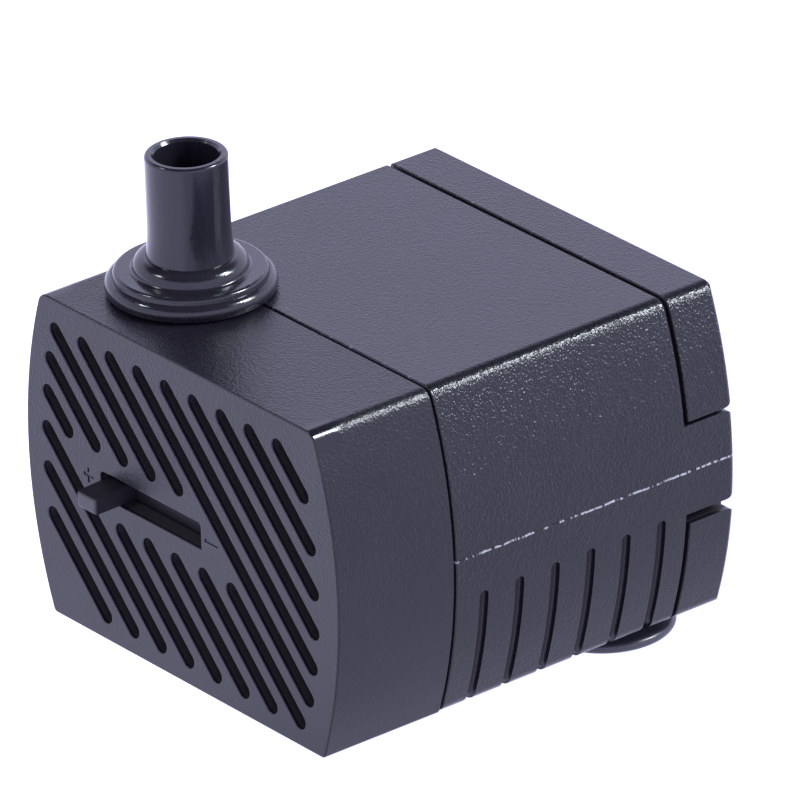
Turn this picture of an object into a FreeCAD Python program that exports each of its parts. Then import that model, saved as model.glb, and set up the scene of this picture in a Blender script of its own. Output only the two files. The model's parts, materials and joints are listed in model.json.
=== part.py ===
"""Small submersible fountain pump, in millimetres.

Every piece is drawn with the body's bottom at z = 0, its front face at y = 0 and x = 0 on its
centre plane. write() then lifts it onto the suction cups and centres it, so the finished pump
stands on z = 0 with +Z up, its intake grille facing -Y and its cord inlet facing +Y.
"""
import FreeCAD
import Part
import math
import os

V = FreeCAD.Vector
X_AXIS = V(1, 0, 0)
Y_AXIS = V(0, 1, 0)
Z_AXIS = V(0, 0, 1)
FAR = 60.0                  # longer than any piece, for cuts that run right through

# Body outline: flat top and bottom, sides bowed outwards as one arc
BODY_H = 37.4
BODY_D = 53.2
TOP_HALF = 22.85            # half the width of the flat top and bottom
BOW = 3.35                  # how far the sides bow out at mid height
WALL = 2.0
STAND = 2.7                 # the cups hold the body this far off the ground
RIM_R = 0.15                # broken edges at the seams and round the slots

# Front cover with its intake grille
COVER_D = 15.25
COVER_INSET = 0.08          # the cover is this much smaller all round than the motor housing
COVER_WALL = 1.92
COVER_TOP_R, COVER_BOTTOM_R = 1.5, 0.6
FRONT_EDGE_R = 0.2
FRONT_T = 2.0
SLOT_W = 1.8
SLOT_PITCH = 4.655          # along X
SLOT_LEAN = math.radians(45.7)
SLOT_ZERO_X = -5.4          # where line 0 crosses SLOT_MID_Z
SLOT_MID_Z = 18.4
SLOT_FIRST, SLOT_LAST = -5, 8
SLOT_TOP_Z, SLOT_BOTTOM_Z = 33.7, 3.0
SLOT_LEFT_INSET, SLOT_RIGHT_INSET = 3.6, 4.2
BAND_TOP_Z, BAND_BOTTOM_Z = 22.75, 14.0     # plain band round the slider's window
BAND_FIRST, BAND_LAST = -2, 2               # lines that the band interrupts
WINDOW_X = (-13.5, 3.3)
WINDOW_Z = (17.0, 19.95)
MARK_W, MARK_DEPTH = 0.4, 0.1

# Flow slider behind the grille
SHUTTER_Y = (2.3, 3.5)
SHUTTER_X = (-22.6, -9.8)
SHUTTER_Z = (10.2, 29.4)
STRIP_END_X = 5.0
STRIP_Z = (16.2, 20.8)
KNOB_X = (-13.4, -10.3)
KNOB_OUT = 3.3
RAIL_GAP = 0.2
RAIL_T = 1.0
RAIL_X = (-21.0, 8.0)
RAIL_BACK_Y = 4.7

# Rotor axis and pump chamber
AXIS_Z = 20.0
CHAMBER_Y = (8.9, 15.6)
CHAMBER_X = -3.25           # the volute's circle is off the rotor's axis, towards the outlet
CHAMBER_R = 12.75
CHAMBER_WALL = 1.6
LID_T = 1.6
EYE_R = 6.0
IMPELLER_R = 8.7
BLADES = 6

# Outlet socket and nozzle
NOZZLE_X, NOZZLE_Y = -12.8, 12.35
CHANNEL_R = 3.2
SOCKET_R = 5.26
SOCKET_Z = (29.0, 34.9)
SOCKET_WALL = 1.7
STEM_R = 5.2
SPIGOT_R = 4.4
SPIGOT_BORE_R = 3.43
NOZZLE_RISE = 15.45         # above the body's top
FLANGE_R = 9.05
NOTCH_R = 5.6               # the cover's slot for the nozzle's stem

# Motor housing
SEAM_1 = 15.5
SEAM_2 = 46.5
BULKHEAD_T = 2.0
LIP_INSET = 2.3
LIP_T = 1.1
LIP_D = 3.1
CORNER_R = 1.7
TOP_LEFT_R = 0.5             # the upper left long edge is sharper than the others
TONGUE_Z = (13.7, 23.9)
TONGUE_END = 53.1
TONGUE_CORNER_R = 1.2
FLASH_W, FLASH_OUT = 0.14, 0.05
GROOVES = 6
GROOVE_FIRST_Y = 19.2
GROOVE_PITCH = 4.77
GROOVE_R = 0.6
GROOVE_TOP_Z = 13.6
GROOVE_UNDER = 1.5          # how far each groove runs in under the bottom

# Rotor well, shaft and bearings
WELL_R = 6.7
WELL_WALL = 1.1
WELL_END = 36.6
SEAT_R = 2.6
SEAT_END = 38.6
SHAFT_R = 1.15
SHAFT_Y = (6.9, 38.0)
RUN_R = 1.21                # bore of what turns on the shaft
STEM_TUBE_R = 2.4
MAGNET_R = 6.1
MAGNET_Y = (16.6, 34.6)
ROTOR_Y = (9.7, 35.4)
BUSH_R = 2.3
WASHER_R = 2.2
WASHER_T = 0.6

# Stator, coil and resin
CORE_Y = (20.0, 34.0)
CORE_X = 17.5
CORE_Z = (5.3, 30.0)
YOKE_T = 4.4
CORE_WINDOW_X = 11.0
CORE_WINDOW_TOP = 15.0
POLE_BORE_R = 8.0
POLE_GAP = 5.0
BOBBIN_X = 10.6
BOBBIN_WALL = 0.7
BOBBIN_FLANGE = 1.6
WINDING_T = 1.6
PIN_R = 0.35
PIN_Y = (33.9, 38.9)
PIN_X = 9.8
LEAD_R = 0.65
LEAD_END = 49.4             # just inside the cord inlet, where the cord's cores would join
RESIN_END = 44.6
RESIN_GAP = 0.1

# Rear cover, cord inlet and cups
REAR_Y = 47.05
REAR_INSET = 0.03
REAR_T = 2.0
REAR_EDGE_R = 0.3           # along the top
REAR_BOTTOM_R = 1.5
REAR_SIDE_R = 0.8           # down the bowed sides
NOTCH_Z = (12.45, 24.25)
NOTCH_X = 23.5
GLAND_Z = 20.0
GLAND_HOLE_R = 4.0
GLAND_BORE_R = 2.65
GLAND_OUT = 3.3
CUP_R = 7.6
CUP_RIM_R = 0.6
CUP_STEM_R = 2.0
CUP_STEM_H = 2.0
CUP_BOSS_R = 3.4
CUP_BOSS_Z = 2.9
CUP_SPOTS = {"suction_cup_front": (0.0, 22.5),
             "suction_cup_rear_left": (-14.2, 44.6),
             "suction_cup_rear_right": (14.2, 44.6)}

MID_Z = BODY_H / 2
BOW_R = (BOW ** 2 + MID_Z ** 2) / (2 * BOW)
BOW_X = TOP_HALF + BOW - BOW_R


def box(x, y, z):
    """A box between two values on each axis."""
    return Part.makeBox(x[1] - x[0], y[1] - y[0], z[1] - z[0], V(x[0], y[0], z[0]))


def rod(radius, y, x=0.0, z=AXIS_Z):
    """A cylinder along Y."""
    return Part.makeCylinder(radius, y[1] - y[0], V(x, y[0], z), Y_AXIS)


def post(radius, z, x=NOZZLE_X, y=NOZZLE_Y):
    """A cylinder along Z."""
    return Part.makeCylinder(radius, z[1] - z[0], V(x, y, z[0]), Z_AXIS)


def tube(outer, inner, y, x=0.0, z=AXIS_Z):
    return rod(outer, y, x, z).cut(rod(inner, y, x, z))


def side_x(z, inset=0.0):
    """Half width of the body at height z, inside the outline by inset."""
    return BOW_X + math.sqrt((BOW_R - inset) ** 2 - (z - MID_Z) ** 2)


def body_block(inset, y, top_r, bottom_r, top_left_r=None):
    """A block of the body's outline, offset inwards, with its four long edges rounded."""
    low, high = inset, BODY_H - inset
    half = side_x(low, inset)
    mid = side_x(MID_Z, inset)
    corners = [V(-half, y[0], low), V(half, y[0], low), V(half, y[0], high), V(-half, y[0], high)]
    edges = [Part.makeLine(corners[0], corners[1]),
             Part.Arc(corners[1], V(mid, y[0], MID_Z), corners[2]).toShape(),
             Part.makeLine(corners[2], corners[3]),
             Part.Arc(corners[3], V(-mid, y[0], MID_Z), corners[0]).toShape()]
    block = Part.Face(Part.Wire(edges)).extrude(V(0, y[1] - y[0], 0))
    for radius, x, z in ((top_r, half, high), (top_left_r or top_r, -half, high),
                         (bottom_r, half, low), (bottom_r, -half, low)):
        block = block.makeFillet(radius, [e for e in block.Edges if is_long_edge(e, x, z)])
    return block


def is_long_edge(edge, x, z):
    """True for an edge along Y whose ends both lie at x and at height z."""
    return all(abs(v.X - x) < 1e-6 and abs(v.Z - z) < 1e-6 for v in edge.Vertexes) \
        and edge.BoundBox.XLength < 0.01


def round_rim(block, y, radius):
    """Round the outline edges of a body block's face at y."""
    rim = [e for e in block.Edges if all(abs(v.Y - y) < 1e-6 for v in e.Vertexes)]
    return block.makeFillet(radius, rim)


def side_rounding(inset, y, radius):
    """A taller block with the same bowed sides, rounded only where they meet its rear face."""
    corners = [V(-side_x(z, inset), y[0], z) for z in (-3, MID_Z, BODY_H + 3)]
    mirrored = [V(-c.x, c.y, c.z) for c in corners]
    edges = [Part.Arc(*corners).toShape(), Part.makeLine(corners[2], mirrored[2]),
             Part.Arc(*reversed(mirrored)).toShape(), Part.makeLine(mirrored[0], corners[0])]
    block = Part.Face(Part.Wire(edges)).extrude(V(0, y[1] - y[0], 0))
    rear = [e for e in block.Edges if e.BoundBox.YMin > y[1] - 0.01 and e.BoundBox.ZLength > BODY_H]
    return block.makeFillet(radius, rear)


def revolve(profile, centre, axis):
    """Turn a closed list of (radius, height) points and arcs' mid points about an axis along Z."""
    edges = []
    for start, mid, end in profile:
        a, b = V(start[0], 0, start[1]), V(end[0], 0, end[1])
        edges.append(Part.makeLine(a, b) if mid is None else Part.Arc(a, V(mid[0], 0, mid[1]), b).toShape())
    solid = Part.Face(Part.Wire(edges)).revolve(V(0, 0, 0), axis, 360)
    solid.translate(centre)
    return solid


def outline(points, bulges=None):
    """Segments for revolve(): straight between points, or through a bulge's mid point."""
    bulges = bulges or {}
    closed = points + points[:1]
    return [(closed[i], bulges.get(i), closed[i + 1]) for i in range(len(points))]


# ---------------------------------------------------------------- front cover

def slot_x(line, z):
    return SLOT_ZERO_X + line * SLOT_PITCH + (SLOT_MID_Z - z) / math.tan(SLOT_LEAN)


def slot_span(line):
    """Heights at which a grille line starts and ends inside the bowed sides."""
    step = 0.01
    top = SLOT_TOP_Z
    while slot_x(line, top) < -side_x(top) + SLOT_LEFT_INSET:
        top -= step
    bottom = SLOT_BOTTOM_Z
    while slot_x(line, bottom) > side_x(bottom) - SLOT_RIGHT_INSET:
        bottom += step
    return top, bottom


def grille_slots():
    """Every slanted slot, with the lines that the window's band interrupts cut in two."""
    slots = []
    for line in range(SLOT_FIRST, SLOT_LAST + 1):
        top, bottom = slot_span(line)
        spans = [(top, bottom)]
        if BAND_FIRST <= line <= BAND_LAST:
            spans = [(top, BAND_TOP_Z), (BAND_BOTTOM_Z, bottom)]
        slots += [one_slot(line, high, low) for high, low in spans]
    return Part.makeCompound(slots)


def one_slot(line, high, low):
    start = V(slot_x(line, high), -1, high)
    end = V(slot_x(line, low), -1, low)
    across = V(math.sin(SLOT_LEAN), 0, math.cos(SLOT_LEAN)) * (SLOT_W / 2)
    along = (end - start).normalize() * (SLOT_W / 2)
    edges = [Part.makeLine(start + across, end + across),
             Part.Arc(end + across, end + along, end - across).toShape(),
             Part.makeLine(end - across, start - across),
             Part.Arc(start - across, start - along, start + across).toShape()]
    return Part.Face(Part.Wire(edges)).extrude(V(0, FRONT_T + 2, 0))


def window():
    """The slider's window, with its two upper corners rounded."""
    hole = box(WINDOW_X, (-1, FRONT_T + 1), WINDOW_Z)
    corners = [e for e in hole.Edges if e.Length > FRONT_T + 1 and e.BoundBox.YLength > FRONT_T
               and e.BoundBox.ZMin > WINDOW_Z[0] + 1]
    return hole.makeFillet(0.45, corners)


def level_marks():
    """A plus at the open end of the window and a minus at the closed end."""
    y = (-1, MARK_DEPTH)
    plus_x, plus_z = -15.6, 18.7
    arm = 0.85
    minus_x, minus_z = (4.0, 6.2), 18.35
    half = MARK_W / 2
    return Part.makeCompound([
        box((plus_x - arm, plus_x + arm), y, (plus_z - half, plus_z + half)),
        box((plus_x - half, plus_x + half), y, (plus_z - arm, plus_z + arm)),
        box(minus_x, y, (minus_z - half, minus_z + half))])


def rail(edge_z, up):
    """An L-shaped guide for one edge of the shutter. up is +1 for the upper rail."""
    foot = sorted((edge_z + up * RAIL_GAP, edge_z + up * (RAIL_GAP + RAIL_T)))
    lip = sorted((edge_z - up * RAIL_T, edge_z + up * (RAIL_GAP + RAIL_T)))
    return box(RAIL_X, (FRONT_T - 0.3, RAIL_BACK_Y), foot).fuse(
        box(RAIL_X, (SHUTTER_Y[1] + RAIL_GAP, RAIL_BACK_Y), lip))


def is_slot_mouth(edge):
    """True for an edge in the front face that lies well inside the outline."""
    centre = edge.CenterOfMass
    flat = abs(centre.y) < 1e-6 and edge.BoundBox.YLength < 1e-3
    return flat and side_x(centre.z) - abs(centre.x) > 1.5 and 1.5 < centre.z < BODY_H - 1.5


def front_cover():
    shell = body_block(COVER_INSET, (0, COVER_D), COVER_TOP_R, COVER_BOTTOM_R)
    shell = round_rim(round_rim(shell, 0, FRONT_EDGE_R), COVER_D, RIM_R)
    hollow = body_block(COVER_INSET + COVER_WALL, (FRONT_T, COVER_D + 1), 0.6, 0.4)
    shell = shell.cut(hollow)
    shell = shell.fuse(rail(SHUTTER_Z[1], 1)).fuse(rail(SHUTTER_Z[0], -1))
    shell = shell.cut(grille_slots()).cut(window())
    shell = shell.makeFillet(RIM_R, [e for e in shell.Edges if is_slot_mouth(e)]).cut(level_marks())
    notch_z = (BODY_H - 5, BODY_H + 1)
    notch_x = (NOZZLE_X - NOTCH_R, NOZZLE_X + NOTCH_R)
    return shell.cut(post(NOTCH_R, notch_z)).cut(box(notch_x, (NOZZLE_Y, COVER_D + 1), notch_z))


def flow_slider():
    plate = box(SHUTTER_X, SHUTTER_Y, SHUTTER_Z).fuse(
        box((SHUTTER_X[1] - 1, STRIP_END_X), SHUTTER_Y, STRIP_Z))
    root, tip = (17.1, 19.1), (17.0, 18.75)
    side = [V(KNOB_X[0], SHUTTER_Y[0], root[0]), V(KNOB_X[0], -KNOB_OUT, tip[0]),
            V(KNOB_X[0], -KNOB_OUT, tip[1]), V(KNOB_X[0], SHUTTER_Y[0], root[1])]
    knob = Part.Face(Part.makePolygon(side + side[:1])).extrude(V(KNOB_X[1] - KNOB_X[0], 0, 0))
    tip_edges = [e for e in knob.Edges if e.BoundBox.YMax < -KNOB_OUT + 0.1]
    return plate.fuse(knob.makeFillet(0.25, tip_edges)).removeSplitter()


# ---------------------------------------------------------------- pump chamber and outlet

def chamber_cover():
    """Lid of the pump chamber: inlet eye, and a hub on three arms for the front bushing."""
    lid_y = (CHAMBER_Y[0] - LID_T, CHAMBER_Y[0])
    lid = rod(CHAMBER_R + CHAMBER_WALL, lid_y, CHAMBER_X)
    rim_y = (CHAMBER_Y[0], CHAMBER_Y[0] + 0.6)
    lid = lid.fuse(tube(CHAMBER_R - 0.2, CHAMBER_R - 1.2, rim_y, CHAMBER_X))
    lid = lid.cut(rod(EYE_R, (0, CHAMBER_Y[0])))
    for turn in range(3):
        arm = box((-0.8, 0.8), lid_y, (AXIS_Z + 1.0, AXIS_Z + EYE_R + 0.5))
        arm.rotate(V(0, 0, AXIS_Z), Y_AXIS, 120 * turn)
        lid = lid.fuse(arm)
    hub_front = SHAFT_Y[0] - 1.0
    lid = lid.fuse(rod(BUSH_R + 1.0, (hub_front, CHAMBER_Y[0])))
    lid = lid.cut(rod(BUSH_R, (hub_front + 0.4, CHAMBER_Y[0])))
    lid = lid.cut(post(CHANNEL_R + CHAMBER_WALL + 0.2, (26.6, FAR)))
    return lid.cut(post(SOCKET_R + 2.0, (SOCKET_Z[0] - 1.3, FAR)))


def outlet_nozzle():
    """Push-in outlet adapter: stem, stepped flange, collar and tapered spigot, bored right through."""
    top = NOZZLE_RISE
    stem_end = SOCKET_Z[0] + 0.4 - BODY_H
    rim = 0.35
    points = [(SPIGOT_BORE_R, stem_end), (STEM_R - 0.4, stem_end), (STEM_R, stem_end + 0.4),
              (STEM_R, -5.6), (4.4, -5.6), (4.4, -4.7), (STEM_R, -4.7), (STEM_R, 0.0),
              (FLANGE_R - 0.35, 0.0), (FLANGE_R, 0.4), (8.45, 1.75), (8.25, 1.75), (8.2, 2.0),
              (7.75, 2.45), (6.55, 2.45), (6.15, 2.8), (4.68, 4.05), (SPIGOT_R, 7.4),
              (SPIGOT_R, top - rim), (SPIGOT_R - rim, top), (SPIGOT_BORE_R + 0.25, top),
              (SPIGOT_BORE_R, top - 0.3)]
    bulges = {8: (FLANGE_R - 0.1, 0.12), 9: (8.93, 1.35), 12: (8.07, 2.32), 14: (6.29, 2.53),
              15: (5.65, 3.7), 16: (4.47, 5.7),
              18: (SPIGOT_R - rim * (1 - math.sqrt(0.5)), top - rim * (1 - math.sqrt(0.5)))}
    return revolve(outline(points, bulges), V(NOZZLE_X, NOZZLE_Y, BODY_H), Z_AXIS)


def nozzle_o_ring():
    return Part.makeTorus(4.8, 0.4, V(NOZZLE_X, NOZZLE_Y, BODY_H - 5.15), Z_AXIS)


# ---------------------------------------------------------------- rotor and bearings

def impeller():
    """Six straight blades on a disc, because a synchronous motor may start either way."""
    disc_y = (14.1, 15.1)
    wheel = rod(IMPELLER_R, disc_y).fuse(rod(2.8, (ROTOR_Y[0], disc_y[1])))
    for turn in range(BLADES):
        blade = box((-0.5, 0.5), (ROTOR_Y[0], disc_y[1]), (AXIS_Z + 1.8, AXIS_Z + IMPELLER_R - 0.05))
        blade.rotate(V(0, 0, AXIS_Z), Y_AXIS, 360 / BLADES * turn)
        wheel = wheel.fuse(blade)
    wheel = wheel.fuse(rod(STEM_TUBE_R, (disc_y[0], ROTOR_Y[1])))
    wheel = wheel.fuse(rod(STEM_TUBE_R + 0.7, (MAGNET_Y[1], ROTOR_Y[1])))
    return wheel.cut(rod(RUN_R, (0, FAR))).removeSplitter()


def rotor_magnet():
    return tube(MAGNET_R, STEM_TUBE_R, MAGNET_Y)


def pump_shaft():
    return rod(SHAFT_R, SHAFT_Y)


def bushing(radius, y, hole_y):
    return rod(radius, y).cut(rod(SHAFT_R, hole_y))


def front_bushing():
    return bushing(BUSH_R, (SHAFT_Y[0] - 0.6, CHAMBER_Y[0]), (SHAFT_Y[0], CHAMBER_Y[0]))


def rear_bushing():
    start = ROTOR_Y[1] + 0.1 + WASHER_T
    return bushing(SEAT_R, (start, SEAT_END), (start, SHAFT_Y[1]))


def front_thrust_washer():
    return tube(WASHER_R, SHAFT_R, (CHAMBER_Y[0], CHAMBER_Y[0] + WASHER_T))


def rear_thrust_washer():
    start = ROTOR_Y[1] + 0.1
    return tube(WASHER_R, SHAFT_R, (start, start + WASHER_T))


# ---------------------------------------------------------------- motor housing

def arc_point(x, z, radius, angle, y):
    return V(x + radius * math.cos(angle), y, z + radius * math.sin(angle))


def side_groove(y):
    """One round groove on the right side: down the bow, round the corner, in under the bottom."""
    depth = 0.15
    bow_r, corner_r = BOW_R - depth, CORNER_R - depth
    corner_x = BOW_X + math.sqrt((BOW_R - CORNER_R) ** 2 - (MID_Z - CORNER_R) ** 2)
    top = math.asin((GROOVE_TOP_Z - MID_Z) / bow_r)
    turn = math.atan2(CORNER_R - MID_Z, corner_x - BOW_X)
    down = -math.pi / 2
    bow = [arc_point(BOW_X, MID_Z, bow_r, a, y) for a in (top, (top + turn) / 2, turn)]
    corner = [arc_point(corner_x, CORNER_R, corner_r, a, y) for a in (turn, (turn + down) / 2, down)]
    path = Part.Wire([Part.Arc(*bow).toShape(), Part.Arc(*corner).toShape(),
                      Part.makeLine(corner[2], corner[2] - V(GROOVE_UNDER, 0, 0))])
    section = Part.Wire(Part.makeCircle(GROOVE_R, bow[0], V(-math.sin(top), 0, math.cos(top))))
    return [path.makePipeShell([section], True, False), Part.makeSphere(GROOVE_R, bow[0])]


def grooves():
    right = []
    for number in range(GROOVES):
        right += side_groove(GROOVE_FIRST_Y + number * GROOVE_PITCH)
    return right + [piece.mirror(V(0, 0, 0), X_AXIS) for piece in right]


def corner_round(y, z, up, radius=TONGUE_CORNER_R):
    """What rounding takes off an edge along X at (y, z) of a piece that lies ahead of y and up or down."""
    waste = box((-FAR, FAR), (y - radius, y + 1), sorted((z - up, z + up * radius)))
    kept = Part.makeCylinder(radius, 2 * FAR, V(-FAR, y - radius, z + up * radius), X_AXIS)
    return waste.cut(kept)


def tongues():
    """The two side tongues that reach back into the rear cover's notches."""
    start = SEAM_2 - 1.0
    ring = round_rim(body_block(0, (start, TONGUE_END), CORNER_R, CORNER_R), TONGUE_END, REAR_SIDE_R)
    ring = ring.cut(body_block(WALL, (start - 1, TONGUE_END + 1), 0.8, 0.8))
    ring = ring.common(box((-FAR, FAR), (start, FAR), TONGUE_Z))
    return ring.cut([corner_round(TONGUE_END, TONGUE_Z[0], 1), corner_round(TONGUE_END, TONGUE_Z[1], -1)])


def parting_ridges():
    """A hair of flash along both sides at mid height, where the two halves of the mould met."""
    half = FLASH_W / 2
    reach = TOP_HALF + BOW + FLASH_OUT
    ridge = box((-reach, reach), (SEAM_1 + 0.3, TONGUE_END - 1.0), (MID_Z - half, MID_Z + half))
    return ridge.cut(box((1 - reach, reach - 1), (0, FAR), (0, FAR)))


def chamber_walls():
    wall = rod(CHAMBER_R + CHAMBER_WALL, (CHAMBER_Y[0], SEAM_1 + 1), CHAMBER_X)
    channel = post(CHANNEL_R + CHAMBER_WALL, (27.0, SOCKET_Z[1]))
    socket = post(SOCKET_R + SOCKET_WALL, (SOCKET_Z[0] - 1.0, SOCKET_Z[1]))
    return wall.fuse(channel).fuse(socket)


def cup_bosses():
    inside = box((-FAR, FAR), (SEAM_1, SEAM_2), (0, FAR))
    return [post(CUP_BOSS_R, (0.5, CUP_BOSS_Z), x, y).common(inside) for x, y in CUP_SPOTS.values()]


def motor_housing():
    bulkhead_end = SEAM_1 + BULKHEAD_T
    shell = body_block(0, (SEAM_1, SEAM_2), CORNER_R, CORNER_R, TOP_LEFT_R)
    shell = round_rim(round_rim(shell, SEAM_1, RIM_R), SEAM_2, RIM_R)
    shell = shell.cut(body_block(WALL, (bulkhead_end, SEAM_2 + 1), 0.8, 0.8))
    lip = body_block(LIP_INSET, (SEAM_1 - LIP_D, SEAM_1 + 1), 0.6, 0.6)
    lip = lip.cut(body_block(LIP_INSET + LIP_T, (SEAM_1 - LIP_D - 1, SEAM_1), 0.4, 0.4))
    well = rod(WELL_R + WELL_WALL, (SEAM_1 + 1, WELL_END + WELL_WALL))
    well = well.fuse(rod(SEAT_R + 1.4, (WELL_END, SEAT_END + 1.2)))
    shell = shell.fuse([lip, tongues(), parting_ridges(), chamber_walls(), well] + cup_bosses())
    cuts = [rod(CHAMBER_R, CHAMBER_Y, CHAMBER_X), post(CHANNEL_R, (AXIS_Z, FAR)),
            post(SOCKET_R, (SOCKET_Z[0], FAR)), rod(WELL_R, (CHAMBER_Y[1] - 1, WELL_END)),
            rod(SEAT_R, (WELL_END - 1, SEAT_END))]
    cuts += [post(CUP_STEM_R, (-1, CUP_STEM_H), x, y) for x, y in CUP_SPOTS.values()]
    for tool in cuts + grooves():
        shell = shell.cut(tool)
    return shell


# ---------------------------------------------------------------- motor inside the housing

def stator_core():
    """U-shaped lamination stack whose two poles embrace the rotor well."""
    core = box((-CORE_X, CORE_X), CORE_Y, CORE_Z)
    inside = (CORE_Z[0] + YOKE_T, CORE_WINDOW_TOP)
    core = core.cut(box((-CORE_WINDOW_X, CORE_WINDOW_X), CORE_Y, inside))
    core = core.cut(rod(POLE_BORE_R, CORE_Y))
    return core.cut(box((-POLE_GAP / 2, POLE_GAP / 2), CORE_Y, (AXIS_Z, FAR)))


def round_yoke(x, grow):
    """A box round the yoke, grown on the four sides that the coil wraps."""
    yoke_z = (CORE_Z[0] - grow, CORE_Z[0] + YOKE_T + grow)
    return box(x, (CORE_Y[0] - grow, CORE_Y[1] + grow), yoke_z)


def bobbin_span():
    return (-BOBBIN_X, BOBBIN_X)


def winding_span():
    return (-BOBBIN_X + BOBBIN_FLANGE, BOBBIN_X - BOBBIN_FLANGE)


def coil_bobbin():
    grow = BOBBIN_WALL + WINDING_T
    spool = round_yoke(bobbin_span(), grow).cut(round_yoke(bobbin_span(), 0))
    groove = round_yoke(winding_span(), grow).cut(round_yoke(winding_span(), BOBBIN_WALL))
    return spool.cut(groove).cut(terminal_pins())


def coil_winding():
    wire = round_yoke(winding_span(), BOBBIN_WALL + WINDING_T - 0.2)
    long_edges = [e for e in wire.Edges if e.BoundBox.XLength > BOBBIN_X]
    return wire.makeFillet(1.2, long_edges).cut(round_yoke(winding_span(), BOBBIN_WALL))


def terminal_pins():
    return Part.makeCompound([rod(PIN_R, PIN_Y, side * PIN_X, pin_z()) for side in (-1, 1)])


def pin_z():
    return CORE_Z[0] + YOKE_T + BOBBIN_WALL + 0.8


def lead_wire(side, radius=LEAD_R):
    """One insulated lead, from its terminal pin back to the cord inlet."""
    route = [V(side * PIN_X, PIN_Y[1], pin_z()), V(side * PIN_X, PIN_Y[1] + 1.5, pin_z()),
             V(side * 1.1, RESIN_END - 1.5, GLAND_Z), V(side * 1.1, LEAD_END, GLAND_Z)]
    lead = None
    for start, end in zip(route, route[1:]):
        run = Part.makeCylinder(radius, (end - start).Length, start, end - start)
        lead = run if lead is None else lead.fuse([run, Part.makeSphere(radius, start)])
    return lead


def epoxy_potting():
    """Resin that fills the housing round the coil, with a small gap to every piece in it."""
    gap = RESIN_GAP
    fill_y = (SEAM_1 + BULKHEAD_T, RESIN_END)
    resin = body_block(WALL + 0.01, fill_y, 0.8, 0.8)
    coil = round_yoke(bobbin_span(), BOBBIN_WALL + WINDING_T + gap)
    core = box((-CORE_X - gap, CORE_X + gap), (CORE_Y[0] - gap, CORE_Y[1] + gap),
               (CORE_Z[0] - gap, CORE_Z[1] + gap))
    coil = box((-BOBBIN_X - gap, BOBBIN_X + gap), (coil.BoundBox.YMin, coil.BoundBox.YMax),
               (coil.BoundBox.ZMin, AXIS_Z))
    well = rod(WELL_R + WELL_WALL + gap, (0, SEAT_END + 1.2 + gap))
    bosses = [post(CUP_BOSS_R + gap, (0, CUP_BOSS_Z + gap), x, y) for x, y in CUP_SPOTS.values()]
    bosses.append(post(SOCKET_R + SOCKET_WALL + gap, (SOCKET_Z[0] - 1.0 - gap, FAR)))
    pins = [rod(PIN_R + gap, PIN_Y, side * PIN_X, pin_z()) for side in (-1, 1)]
    leads = [lead_wire(side, LEAD_R + gap) for side in (-1, 1)]
    return resin.cut([coil, core, well] + bosses + pins + leads)


# ---------------------------------------------------------------- rear cover, inlet and cups

def rear_cover():
    rear_lip_y = (RESIN_END + 0.4, BODY_D - REAR_T)
    cap = body_block(REAR_INSET, (REAR_Y, BODY_D), CORNER_R, CORNER_R, TOP_LEFT_R)
    cap = round_rim(round_rim(cap, BODY_D, REAR_EDGE_R), REAR_Y, RIM_R)
    cap = cap.common(side_rounding(REAR_INSET - 0.02, (REAR_Y - 1, BODY_D), REAR_SIDE_R))
    cap = cap.cut(corner_round(BODY_D, REAR_INSET, 1, REAR_BOTTOM_R))
    cap = cap.cut(body_block(WALL, (REAR_Y - 1, BODY_D - REAR_T), 0.8, 0.8))
    lip = body_block(WALL + 0.15, rear_lip_y, 0.8, 0.8)
    cap = cap.fuse(lip.cut(body_block(WALL + 1.1, rear_lip_y, 0.6, 0.6)))
    notch_y = (RESIN_END, BODY_D + 1)
    flares = [corner_round(BODY_D, NOTCH_Z[0], -1), corner_round(BODY_D, NOTCH_Z[1], 1)]
    for x in ((NOTCH_X, FAR), (-FAR, -NOTCH_X)):
        side = box(x, notch_y, (0, FAR))
        cap = cap.cut([box(x, notch_y, NOTCH_Z)] + [flare.common(side) for flare in flares])
    for x, y in CUP_SPOTS.values():
        cap = cap.cut(post(CUP_BOSS_R + 0.2, (WALL, CUP_BOSS_Z + 0.4), x, y))
    return cap.cut(rod(GLAND_HOLE_R, (BODY_D - REAR_T - 1, BODY_D + 1), 0, GLAND_Z))


def cord_gland():
    """Rubber inlet bush, with its flange inside the rear cover and a tapered nose outside."""
    plate_y = (BODY_D - REAR_T, BODY_D)
    bush = rod(GLAND_HOLE_R, plate_y, 0, GLAND_Z)
    bush = bush.fuse(rod(GLAND_HOLE_R + 1.4, (plate_y[0] - 1.4, plate_y[0]), 0, GLAND_Z))
    nose = Part.makeCone(GLAND_HOLE_R + 0.8, GLAND_HOLE_R - 0.3, GLAND_OUT, V(0, BODY_D, GLAND_Z), Y_AXIS)
    return bush.fuse(nose).cut(rod(GLAND_BORE_R, (0, FAR), 0, GLAND_Z))


def suction_cup(x, y):
    """A soft cup with a rounded rim, hollow below, and a stem pressed into the housing."""
    rim_x, rim_z = CUP_R - CUP_RIM_R, CUP_RIM_R - STAND
    over, side = math.radians(75), math.radians(-7.5)
    points = [(0.0, -1.9), (2.2, -1.9), (rim_x - 0.7, -STAND), (rim_x, -STAND),
              (rim_x + CUP_RIM_R * math.cos(over), rim_z + CUP_RIM_R * math.sin(over)),
              (3.6, -0.35), (3.2, 0.0), (CUP_STEM_R, 0.0), (CUP_STEM_R, CUP_STEM_H), (0.0, CUP_STEM_H)]
    bulges = {1: (4.6, -2.1), 3: (rim_x + CUP_RIM_R * math.cos(side), rim_z + CUP_RIM_R * math.sin(side)),
              4: (5.4, -0.95)}
    return revolve(outline(points, bulges), V(x, y, 0), Z_AXIS)


# ---------------------------------------------------------------- output

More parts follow.
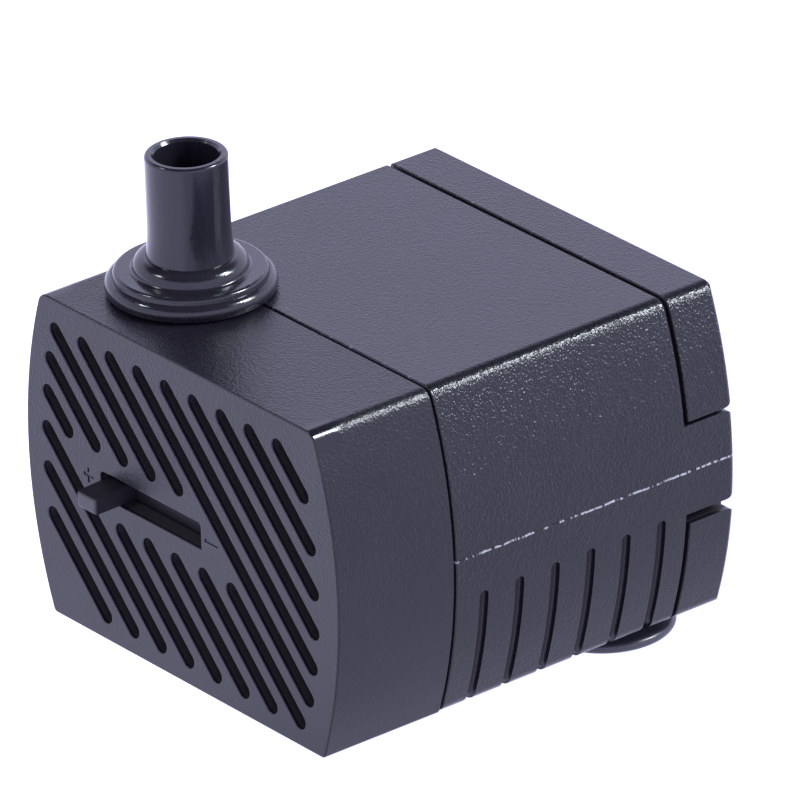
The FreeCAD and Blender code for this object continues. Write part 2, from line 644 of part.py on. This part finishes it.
def write(node, shape):
    shape = shape.copy()
    shape.translate(V(0, -BODY_D / 2, STAND))
    shape.exportStep("parts/" + node + ".step")
    bounds = shape.BoundBox
    print("%-24s solids %d  valid %s  volume %8.1f  z %5.2f..%5.2f"
          % (node, len(shape.Solids), shape.isValid(), shape.Volume, bounds.ZMin, bounds.ZMax))


def main():
    os.makedirs("parts", exist_ok=True)
    makers = [front_cover, flow_slider, chamber_cover, outlet_nozzle, nozzle_o_ring, impeller, rotor_magnet,
              pump_shaft, front_bushing, rear_bushing, front_thrust_washer, rear_thrust_washer,
              motor_housing, stator_core, coil_bobbin, coil_winding, terminal_pins, epoxy_potting,
              rear_cover, cord_gland]
    for make in makers:
        write(make.__name__, make())
    for name, side in (("lead_wire_live", -1), ("lead_wire_neutral", 1)):
        write(name, lead_wire(side))
    for name, (x, y) in CUP_SPOTS.items():
        write(name, suction_cup(x, y))


main()
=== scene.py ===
"""Looks of the submersible fountain pump, in metres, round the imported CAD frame."""
import json
import math

import bpy
from mathutils import Matrix, Vector


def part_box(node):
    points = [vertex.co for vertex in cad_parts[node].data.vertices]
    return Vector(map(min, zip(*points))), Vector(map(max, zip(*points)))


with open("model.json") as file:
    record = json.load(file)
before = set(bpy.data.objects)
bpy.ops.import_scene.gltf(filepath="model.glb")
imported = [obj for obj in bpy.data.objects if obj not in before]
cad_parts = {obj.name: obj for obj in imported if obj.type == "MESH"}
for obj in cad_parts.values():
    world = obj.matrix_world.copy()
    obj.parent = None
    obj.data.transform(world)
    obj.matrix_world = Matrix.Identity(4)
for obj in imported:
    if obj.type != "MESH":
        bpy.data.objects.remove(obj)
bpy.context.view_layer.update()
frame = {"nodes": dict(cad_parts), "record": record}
nodes = frame["nodes"]
MM = 0.001

# Body outline, in millimetres of the frame: flat top and bottom, sides bowed out as one arc
COVER_BOX = [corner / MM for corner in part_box("front_cover")]
HOUSING_BOX = [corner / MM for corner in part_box("motor_housing")]
REAR_BOX = [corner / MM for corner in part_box("rear_cover")]
FRONT_Y, REAR_Y = COVER_BOX[0].y, REAR_BOX[1].y
SIDE_X = 26.2               # half the width over the bowed sides, without the parting line's flash
TOP_Z, BODY_H = HOUSING_BOX[1].z, 37.4
BOTTOM_Z = TOP_Z - BODY_H
MID_Z = (TOP_Z + BOTTOM_Z) / 2
BOW = 3.35                  # how far each side bows out at mid height
BOW_R = (BOW ** 2 + (BODY_H / 2) ** 2) / (2 * BOW)
BOW_X = SIDE_X - BOW_R
# Planes of the shells' rims, which get the painted shade of the recesses
SEAM_COVER, SEAM_HOUSING = COVER_BOX[1].y, FRONT_Y + 15.42
SEAM_REAR_HOUSING, SEAM_REAR_COVER = FRONT_Y + 46.42, FRONT_Y + 46.97


# ---------------------------------------------------------------- camera and studio

VIEW_AZIMUTH = 51.96        # degrees, 0 looks along +Y
VIEW_ELEVATION = 25.87
VIEW_ROLL = -1.963
VIEW_DISTANCE = 1.3213
VIEW_TARGET = Vector((0.0, 0.00276, 0.02605))
LENS_MM = 568.1

LAMP_COLOUR = (0.86, 0.93, 1.0)
BACKDROP = (1.38, 1.36, 1.90)
CEILING = (0.09, 0.085, 0.11)
SURROUND_STOPS = (0.52, 0.66)         # where the surround leaves the backdrop and reaches the ceiling
FLOOR_REACH = 3.0                     # metres from the middle to each side
FLOOR_BASE = (0.05, 0.05, 0.06)
FLOOR_TINT = (1.0, 0.995, 1.36)
GLOW_HEADING = (-0.788, -0.616)       # along the table, towards its brighter side
GLOW_SPAN = (-15.0, 35.0)             # millimetres that way, where the glow starts and stops rising
GLOW_LOW, GLOW_HIGH = 1.0, 1.5


def aim(azimuth, elevation):
    """Unit vector from the object towards a place seen at that azimuth and elevation."""
    a, e = math.radians(azimuth), math.radians(elevation)
    return Vector((math.sin(a) * math.cos(e), -math.cos(a) * math.cos(e), math.sin(e)))


def add_camera():
    data = bpy.data.cameras.new("camera")
    data.lens = LENS_MM
    data.sensor_width = 36.0
    data.clip_end = 20.0
    camera = bpy.data.objects.new("camera", data)
    bpy.context.scene.collection.objects.link(camera)
    turn = (Matrix.Rotation(math.radians(VIEW_AZIMUTH), 4, "Z")
            @ Matrix.Rotation(math.radians(90.0 - VIEW_ELEVATION), 4, "X")
            @ Matrix.Rotation(math.radians(VIEW_ROLL), 4, "Z"))
    place = VIEW_TARGET + aim(VIEW_AZIMUTH, VIEW_ELEVATION) * VIEW_DISTANCE
    camera.matrix_world = Matrix.Translation(place) @ turn
    bpy.context.scene.camera = camera


def add_softbox(name, azimuth, elevation, distance, width, height, radiance):
    """A rectangular light that faces the object, of a given brightness per area."""
    data = bpy.data.lights.new(name, "AREA")
    data.shape = "RECTANGLE"
    data.size = width
    data.size_y = height
    data.energy = radiance * math.pi * width * height
    data.color = LAMP_COLOUR
    lamp = bpy.data.objects.new(name, data)
    bpy.context.scene.collection.objects.link(lamp)
    direction = aim(azimuth, elevation)
    lamp.location = VIEW_TARGET + direction * distance
    lamp.rotation_euler = direction.to_track_quat("Z", "Y").to_euler()


def add_world():
    """A dark room overhead, with a bright low surround, as a white table and backdrop give."""
    world = bpy.data.worlds.new("studio")
    world.use_nodes = True
    tree = world.node_tree
    tree.nodes.clear()
    coords = tree.nodes.new("ShaderNodeTexCoord")
    split = tree.nodes.new("ShaderNodeSeparateXYZ")
    ramp = tree.nodes.new("ShaderNodeValToRGB")
    light = tree.nodes.new("ShaderNodeBackground")
    out = tree.nodes.new("ShaderNodeOutputWorld")
    stops = ramp.color_ramp.elements
    for stop, place, colour in zip(stops, SURROUND_STOPS, (BACKDROP, CEILING)):
        stop.position = place
        stop.color = (*colour, 1.0)
    tree.links.new(coords.outputs["Generated"], split.inputs[0])
    tree.links.new(split.outputs["Z"], ramp.inputs["Fac"])
    tree.links.new(ramp.outputs["Color"], light.inputs["Color"])
    tree.links.new(light.outputs["Background"], out.inputs["Surface"])
    bpy.context.scene.world = world


def add_floor():
    mesh = bpy.data.meshes.new("floor")
    corners = [(x * FLOOR_REACH, y * FLOOR_REACH, 0) for x, y in ((-1, -1), (1, -1), (1, 1), (-1, 1))]
    mesh.from_pydata(corners, [], [(0, 1, 2, 3)])
    floor = bpy.data.objects.new("floor", mesh)
    bpy.context.scene.collection.objects.link(floor)
    floor.data.materials.append(make_floor_paper())


def make_floor_paper():
    """White paper that glows, brighter towards one side."""
    material, tree, shader = new_material("floor_paper")
    shader.inputs["Base Color"].default_value = (*FLOOR_BASE, 1.0)
    shader.inputs["Roughness"].default_value = 0.9
    shader.inputs["Specular IOR Level"].default_value = 0.1
    shader.inputs["Emission Color"].default_value = (*FLOOR_TINT, 1.0)
    x, y, _ = axes_mm(tree)
    along = calc(tree, "ADD", calc(tree, "MULTIPLY", x, GLOW_HEADING[0]),
                 calc(tree, "MULTIPLY", y, GLOW_HEADING[1]))
    glow = remap(tree, along, *GLOW_SPAN, GLOW_LOW, GLOW_HIGH, True)
    tree.links.new(glow, shader.inputs["Emission Strength"])
    return material


# ---------------------------------------------------------------- material helpers

def new_material(name):
    material = bpy.data.materials.new(name)
    material.use_nodes = True
    tree = material.node_tree
    return material, tree, tree.nodes["Principled BSDF"]


def place_mm(tree):
    """Object coordinates in millimetres."""
    node = tree.nodes.new("ShaderNodeVectorMath")
    node.operation = "SCALE"
    node.inputs["Scale"].default_value = 1 / MM
    tree.links.new(tree.nodes.new("ShaderNodeTexCoord").outputs["Object"], node.inputs[0])
    return node.outputs["Vector"]


def axes_mm(tree):
    split = tree.nodes.new("ShaderNodeSeparateXYZ")
    tree.links.new(place_mm(tree), split.inputs[0])
    return split.outputs["X"], split.outputs["Y"], split.outputs["Z"]


def stretched(tree, stretch):
    """Object coordinates in millimetres, scaled differently along each axis."""
    node = tree.nodes.new("ShaderNodeVectorMath")
    node.operation = "MULTIPLY"
    node.inputs[1].default_value = stretch
    tree.links.new(place_mm(tree), node.inputs[0])
    return node.outputs["Vector"]


def noise(tree, per_mm, detail=3.0, rough=0.55, vector=None):
    """Noise whose features are about 1 / per_mm millimetres wide."""
    node = tree.nodes.new("ShaderNodeTexNoise")
    node.inputs["Scale"].default_value = per_mm
    node.inputs["Detail"].default_value = detail
    node.inputs["Roughness"].default_value = rough
    tree.links.new(vector or place_mm(tree), node.inputs["Vector"])
    return node.outputs["Fac"]


def pits(tree, per_mm):
    """Distance to the middle of the nearest of many scattered cells, 0 at each middle."""
    node = tree.nodes.new("ShaderNodeTexVoronoi")
    node.inputs["Scale"].default_value = per_mm
    tree.links.new(place_mm(tree), node.inputs["Vector"])
    return node.outputs["Distance"]


def remap(tree, value, low, high, to_low, to_high, smooth=False):
    """The range from low to high, carried over to the range from to_low to to_high, and clamped."""
    node = tree.nodes.new("ShaderNodeMapRange")
    if smooth:
        node.interpolation_type = "SMOOTHSTEP"
    node.inputs["From Min"].default_value = low
    node.inputs["From Max"].default_value = high
    node.inputs["To Min"].default_value = to_low
    node.inputs["To Max"].default_value = to_high
    tree.links.new(value, node.inputs["Value"])
    return node.outputs["Result"]


def calc(tree, kind, first, second=0.0):
    """One step of arithmetic. Each value is a number or another node's output."""
    node = tree.nodes.new("ShaderNodeMath")
    node.operation = kind
    for index, value in enumerate((first, second)):
        if isinstance(value, (int, float)):
            node.inputs[index].default_value = value
        else:
            tree.links.new(value, node.inputs[index])
    return node.outputs[0]


def mix_colour(tree, factor, first, second):
    """Blend of two colours, each a tuple or another node's output."""
    node = tree.nodes.new("ShaderNodeMix")
    node.data_type = "RGBA"
    tree.links.new(factor, node.inputs["Factor"])
    for socket, colour in ((node.inputs[6], first), (node.inputs[7], second)):
        if isinstance(colour, tuple):
            socket.default_value = (*colour, 1.0)
        else:
            tree.links.new(colour, socket)
    return node.outputs[2]


def bump(tree, shader, height, distance_um):
    """Relief of distance_um micrometres for each unit of height."""
    node = tree.nodes.new("ShaderNodeBump")
    node.inputs["Strength"].default_value = 1.0
    node.inputs["Distance"].default_value = distance_um * MM * MM
    tree.links.new(height, node.inputs["Height"])
    tree.links.new(node.outputs["Normal"], shader.inputs["Normal"])


def near(tree, value, centre, half_width, soft=0.05):
    """1 where value lies within half_width of centre, falling to 0 over a soft edge."""
    away = calc(tree, "ABSOLUTE", calc(tree, "SUBTRACT", value, centre))
    return remap(tree, away, half_width, half_width + soft, 1.0, 0.0)


# ---------------------------------------------------------------- materials

CASING = (0.0085, 0.0078, 0.0125)
CASING_DARK = (0.005, 0.0047, 0.008)
# Painted shade for slots, grooves, seams and other recesses
PAINTED_CAVITY_SHADE = (0.019, 0.017, 0.02)
# Pale flecks of flash, painted lighter as highlights
FLASH_GLINT = (0.33, 0.335, 0.36)
# Share of the sides' grain depth on the faces that don't face sideways
TOP_GRAIN = {"front_cover": 0.5, "motor_housing": 0.2, "rear_cover": 0.24}
CASING_IOR = 1.42
NOZZLE_IOR = 1.46
NOZZLE_DARK = (0.008, 0.0073, 0.0115)
NOZZLE_LIGHT = (0.015, 0.014, 0.02)
FRONT_WEIGHT = 1.8           # depth behind the front face counts for more, so its slots take the painted shade sooner
CAVITY_SHADE_DEPTH = (0.45, 0.75)  # weighted millimetres in, where the painted shade starts and is complete
SIDE_FACING = (0.58, 0.9)    # sideways share of a surface's normal, from none of the effect to all of it
FADE_HEIGHT = 9.0            # the grain fades downwards from this far above mid height to as far below
FADE_LOW = 0.3               # share of the grain left below that


def body_depth(tree):
    """How far in from the body's outline a point lies, in millimetres, weighted from the front face."""
    x, y, z = axes_mm(tree)
    out_x = calc(tree, "SUBTRACT", calc(tree, "ABSOLUTE", x), BOW_X)
    off_z = calc(tree, "SUBTRACT", z, MID_Z)
    reach = calc(tree, "SQRT", calc(tree, "ADD", calc(tree, "MULTIPLY", out_x, out_x),
                                    calc(tree, "MULTIPLY", off_z, off_z)))
    side = calc(tree, "SUBTRACT", BOW_R, reach)
    top = calc(tree, "SUBTRACT", BODY_H / 2, calc(tree, "ABSOLUTE", off_z))
    front = calc(tree, "MULTIPLY", calc(tree, "SUBTRACT", y, FRONT_Y), FRONT_WEIGHT)
    rear = calc(tree, "SUBTRACT", REAR_Y, y)
    return calc(tree, "MINIMUM", calc(tree, "MINIMUM", side, top), calc(tree, "MINIMUM", front, rear))


def facing_side(tree):
    """1 where the surface faces left or right, falling to 0 where it faces another way."""
    split = tree.nodes.new("ShaderNodeSeparateXYZ")
    tree.links.new(tree.nodes.new("ShaderNodeTexCoord").outputs["Normal"], split.inputs[0])
    return remap(tree, calc(tree, "ABSOLUTE", split.outputs["X"]), *SIDE_FACING, 0.0, 1.0)


def above(tree, value, threshold, soft):
    """0 below a threshold, rising to 1 over a soft edge."""
    return remap(tree, value, threshold, threshold + soft, 0.0, 1.0)


def flash_glint_flecks(tree):
    """Torn, pale remains of flash along the mould's parting line at mid height of both sides, painted pale
    as highlights.
    """
    x, _, z = axes_mm(tree)
    wander = calc(tree, "MULTIPLY", calc(tree, "SUBTRACT", noise(tree, 0.9), 0.5), 0.35)
    line = near(tree, calc(tree, "ADD", z, wander), MID_Z, 0.06, 0.1)
    torn = above(tree, noise(tree, 1.0, 4.0, 0.75, stretched(tree, (0.1, 1.3, 0.1))), 0.47, 0.05)
    outside = above(tree, calc(tree, "ABSOLUTE", x), SIDE_X - 1.2, 0.2)
    return calc(tree, "MULTIPLY", calc(tree, "MULTIPLY", line, torn), outside)


def seam_glint_flecks(tree, seams):
    """Short pale specks of flash along the top of the shell's first seam, painted pale as highlights."""
    _, y, z = axes_mm(tree)
    specked = above(tree, noise(tree, 1.0, 3.0, 0.7, stretched(tree, (0.9, 0.1, 0.9))), 0.56, 0.08)
    rim = calc(tree, "MULTIPLY", near(tree, y, seams[0] + 0.2, 0.1, 0.1), above(tree, z, TOP_Z - 0.3, 0.1))
    return calc(tree, "MULTIPLY", calc(tree, "MULTIPLY", rim, specked), 0.2)


def worn_corner(tree):
    """1 on the upper corners of the front cover, rubbed smooth by handling."""
    x, y, z = axes_mm(tree)
    ends = near(tree, y, FRONT_Y, 2.4, 1.6)
    high = above(tree, z, TOP_Z - 2.4, 0.8)
    wide = above(tree, calc(tree, "ABSOLUTE", x), SIDE_X - 5.6, 0.8)
    return calc(tree, "MULTIPLY", calc(tree, "MULTIPLY", ends, high), wide)


def make_casing(name, roughness, grain_um, top_grain, seams):
    """Spark-textured blue-black moulding, with painted shade in its slots, grooves and seams, and pale
    flecks of flash painted as highlights.
    """
    material, tree, shader = new_material(name)
    shader.inputs["IOR"].default_value = CASING_IOR
    _, y, z = axes_mm(tree)
    coarse = noise(tree, 0.11, 3.0)
    mottle = noise(tree, 1.6, 3.0, 0.7)
    blend = calc(tree, "ADD", calc(tree, "MULTIPLY", coarse, 0.5), calc(tree, "MULTIPLY", mottle, 0.5))
    colour = mix_colour(tree, remap(tree, blend, 0.38, 0.62, 0.0, 1.0), CASING_DARK, CASING)
    # Painted shade: darker deeper in from the body's outline, and in a thin band on each seam plane
    cavity_shade = remap(tree, body_depth(tree), *CAVITY_SHADE_DEPTH, 0.0, 1.0, True)
    for seam in seams:
        cavity_shade = calc(tree, "MAXIMUM", cavity_shade, near(tree, y, seam, 0.05))
    # Flecks of flash on the seam rim and the housing's parting line, painted pale as highlights
    pale = seam_glint_flecks(tree, seams)
    if name.startswith("motor_housing"):
        pale = calc(tree, "MAXIMUM", pale, flash_glint_flecks(tree))
    tree.links.new(mix_colour(tree, pale, mix_colour(tree, cavity_shade, colour, PAINTED_CAVITY_SHADE), FLASH_GLINT),
                   shader.inputs["Base Color"])
    matt = remap(tree, mottle, 0.3, 0.7, roughness - 0.05, roughness + 0.05)
    fade = remap(tree, z, MID_Z - FADE_HEIGHT, MID_Z + FADE_HEIGHT, FADE_LOW, 1.0, True)
    strength = calc(tree, "MULTIPLY", remap(tree, facing_side(tree), 0.0, 1.0, top_grain, 1.0), fade)
    if name.startswith("front_cover"):
        worn = worn_corner(tree)
        matt = calc(tree, "SUBTRACT", matt, calc(tree, "MULTIPLY", worn, 0.16))
        strength = calc(tree, "MULTIPLY", strength, calc(tree, "SUBTRACT", 1.0, worn))
    tree.links.new(calc(tree, "MAXIMUM", matt, calc(tree, "MULTIPLY", cavity_shade, 0.8)),
                   shader.inputs["Roughness"])
    grain = calc(tree, "SUBTRACT", noise(tree, 3.0, 2.0, 0.6), 0.7)
    grain = calc(tree, "ADD", calc(tree, "MULTIPLY", grain, 0.7),
                 calc(tree, "MULTIPLY", pits(tree, 3.2), 0.4))
    bump(tree, shader, calc(tree, "MULTIPLY", grain, strength), grain_um)
    return material


def make_plastic(name, colour, roughness, texture_um=4.0, per_mm=2.5):
    """Plain moulded plastic with faint mottling and grain."""
    material, tree, shader = new_material(name)
    darker = tuple(0.8 * c for c in colour)
    tree.links.new(mix_colour(tree, noise(tree, 0.3), darker, colour), shader.inputs["Base Color"])
    grain = noise(tree, per_mm, 2.0)
    tree.links.new(remap(tree, grain, 0.3, 0.7, roughness - 0.04, roughness + 0.06),
                   shader.inputs["Roughness"])
    bump(tree, shader, grain, texture_um)
    return material


def make_nozzle_plastic():
    """Smooth moulded plastic, glossier than the casing, with draw marks down the spigot."""
    material, tree, shader = new_material("nozzle_plastic")
    streaks = noise(tree, 1.0, 3.0, 0.6, stretched(tree, (2.2, 2.2, 0.25)))
    shader.inputs["IOR"].default_value = NOZZLE_IOR
    tree.links.new(mix_colour(tree, streaks, NOZZLE_DARK, NOZZLE_LIGHT), shader.inputs["Base Color"])
    tree.links.new(remap(tree, streaks, 0.3, 0.7, 0.12, 0.2), shader.inputs["Roughness"])
    height = calc(tree, "ADD", streaks, calc(tree, "MULTIPLY", noise(tree, 3.0, 2.0), 0.5))
    bump(tree, shader, height, 12.0)
    return material


def make_metal(name, colour, roughness):
    material, tree, shader = new_material(name)
    shader.inputs["Metallic"].default_value = 1.0
    darker = tuple(0.7 * c for c in colour)
    tree.links.new(mix_colour(tree, noise(tree, 0.4), darker, colour), shader.inputs["Base Color"])
    tree.links.new(remap(tree, noise(tree, 2.0), 0.3, 0.7, roughness - 0.08, roughness + 0.08),
                   shader.inputs["Roughness"])
    return material


def waves(tree, axis, pitch_mm):
    """A ridge every pitch_mm along an axis, from 0 in the valleys to 1 on the crests."""
    node = tree.nodes.new("ShaderNodeTexWave")
    node.bands_direction = axis
    node.wave_profile = "SIN"
    node.inputs["Scale"].default_value = math.pi / (10 * pitch_mm)
    tree.links.new(place_mm(tree), node.inputs["Vector"])
    return node.outputs["Fac"]


def make_ridged(name, colour, roughness, metallic, axis, pitch_mm, depth_um):
    """Wound wire or stacked sheets: ridges across one axis, with painted shade in the valleys."""
    material, tree, shader = new_material(name)
    shader.inputs["Metallic"].default_value = metallic
    shader.inputs["Roughness"].default_value = roughness
    ridge = waves(tree, axis, pitch_mm)
    # Painted shade: the valleys between the ridges are darker
    valley_shade = tuple(0.25 * c for c in colour)
    tree.links.new(mix_colour(tree, remap(tree, ridge, 0.05, 0.4, 0.0, 1.0), valley_shade, colour),
                   shader.inputs["Base Color"])
    bump(tree, shader, calc(tree, "ADD", ridge, calc(tree, "MULTIPLY", noise(tree, 2.0), 0.2)), depth_um)
    return material


SEAM_PLANES = {"front_cover": [SEAM_COVER], "motor_housing": [SEAM_HOUSING, SEAM_REAR_HOUSING],
               "rear_cover": [SEAM_REAR_COVER]}
CASING_ROUGHNESS = {"front_cover": 0.32, "motor_housing": 0.24, "rear_cover": 0.24}
GRAIN_UM = {"front_cover": 110.0, "motor_housing": 190.0, "rear_cover": 190.0}

MATERIALS = {
    "slider_plastic": make_plastic("slider_plastic", (0.016, 0.015, 0.02), 0.4),
    "nozzle_plastic": make_nozzle_plastic(),
    "inner_plastic": make_plastic("inner_plastic", (0.012, 0.011, 0.014), 0.5),
    "impeller_plastic": make_plastic("impeller_plastic", (0.6, 0.6, 0.56), 0.4),
    "ferrite": make_plastic("ferrite", (0.05, 0.045, 0.042), 0.55, 8.0),
    "ceramic": make_plastic("ceramic", (0.8, 0.79, 0.75), 0.25, 1.0),
    "seal_rubber": make_plastic("seal_rubber", (0.015, 0.015, 0.015), 0.5),
    "foot_rubber": make_plastic("foot_rubber", (0.034, 0.035, 0.045), 0.3, 5.0, 1.2),
    "lamination_steel": make_ridged("lamination_steel", (0.42, 0.43, 0.45), 0.4, 1.0, "Y", 0.5, 30.0),
    "bobbin_plastic": make_plastic("bobbin_plastic", (0.7, 0.68, 0.6), 0.45),
    "copper_wire": make_ridged("copper_wire", (0.75, 0.3, 0.14), 0.3, 1.0, "X", 0.2, 40.0),
    "pin_brass": make_metal("pin_brass", (0.8, 0.65, 0.35), 0.3),
    "lead_brown": make_plastic("lead_brown", (0.16, 0.06, 0.025), 0.4),
    "lead_blue": make_plastic("lead_blue", (0.03, 0.1, 0.4), 0.4),
    "resin": make_plastic("resin", (0.012, 0.012, 0.012), 0.15, 6.0),
}


def paint_nodes():
    """Gives each CAD node the material of its slot in the record."""
    for part in frame["record"]["subparts"]:
        node, slot = part["node"], part["material_slot"]
        if slot == "casing_plastic":
            material = make_casing(node + "_casing", CASING_ROUGHNESS[node], GRAIN_UM[node],
                                   TOP_GRAIN[node], SEAM_PLANES[node])
        else:
            material = MATERIALS[slot]
        mesh = nodes[node].data
        mesh.materials.clear()
        mesh.materials.append(material)


# ---------------------------------------------------------------- the scene

add_camera()
add_world()
add_floor()
add_softbox("key", azimuth=140.0, elevation=42.0, distance=0.9, width=0.18, height=0.28, radiance=76.0)
add_softbox("fill", azimuth=-34.0, elevation=47.0, distance=1.0, width=0.12, height=0.12, radiance=40.0)
paint_nodes()
bpy.context.scene.view_settings.view_transform = "Standard"
